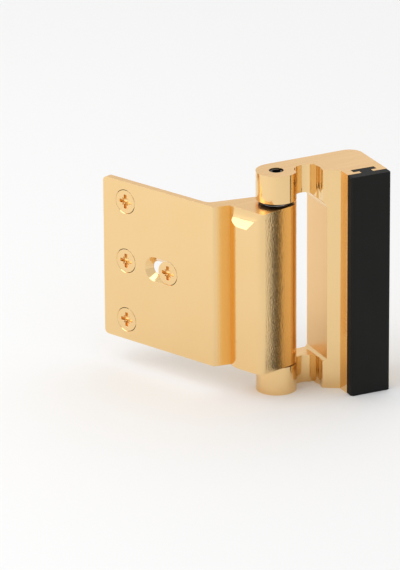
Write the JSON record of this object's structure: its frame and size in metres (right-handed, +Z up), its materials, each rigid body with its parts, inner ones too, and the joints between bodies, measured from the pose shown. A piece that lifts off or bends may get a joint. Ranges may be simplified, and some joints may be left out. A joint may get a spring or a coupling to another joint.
{
  "type": "door reinforcement lock",
  "caption": "Jamb-mounted door stop lock: a screwed plate with a barrel, and a pinned swing arm with a rubber pad that folds over the closed door.",
  "frame": {"origin": "middle of the plate's back face, on the jamb", "axes": "+X along the plate from its free edge to the barrel, +Y into the jamb, +Z up the hinge pin"},
  "size_m": [0.0892, 0.0489, 0.0762],
  "materials": {
    "gold_aluminium": "satin gold anodised",
    "gold_aluminium_arm": "satin gold anodised",
    "black_rubber": "matt black",
    "black_steel": "black oxide",
    "spring_steel": "bright drawn",
    "black_nylon": "matt black",
    "brass_screw": "brass plated steel"
  },
  "bodies": {
    "jamb": {"jamb_plate": "gold_aluminium", "lift_spring": "spring_steel", "plate_screw_top": "brass_screw", "plate_screw_middle": "brass_screw", "plate_screw_bottom": "brass_screw", "adjusting_screw": "brass_screw"},
    "lifter": {"spring_washer": "black_nylon"},
    "arm": {"swing_arm": "gold_aluminium_arm", "bumper_pad": "black_rubber", "hinge_pin": "black_steel"}
  },
  "joints": [
    {"name": "lift", "type": "slide", "parent": "jamb", "child": "lifter", "axis": [0, 0, 1], "range_m": [-0.0007, 0], "stiffness_N_per_m": 900, "springref_m": 0.003, "deforming": ["lift_spring"]},
    {"name": "swing", "type": "hinge", "parent": "lifter", "child": "arm", "pos_m": [0.03608, 0.0149, 0], "axis": [0, 0, 1], "range_deg": [-156, 24]}
  ]
}
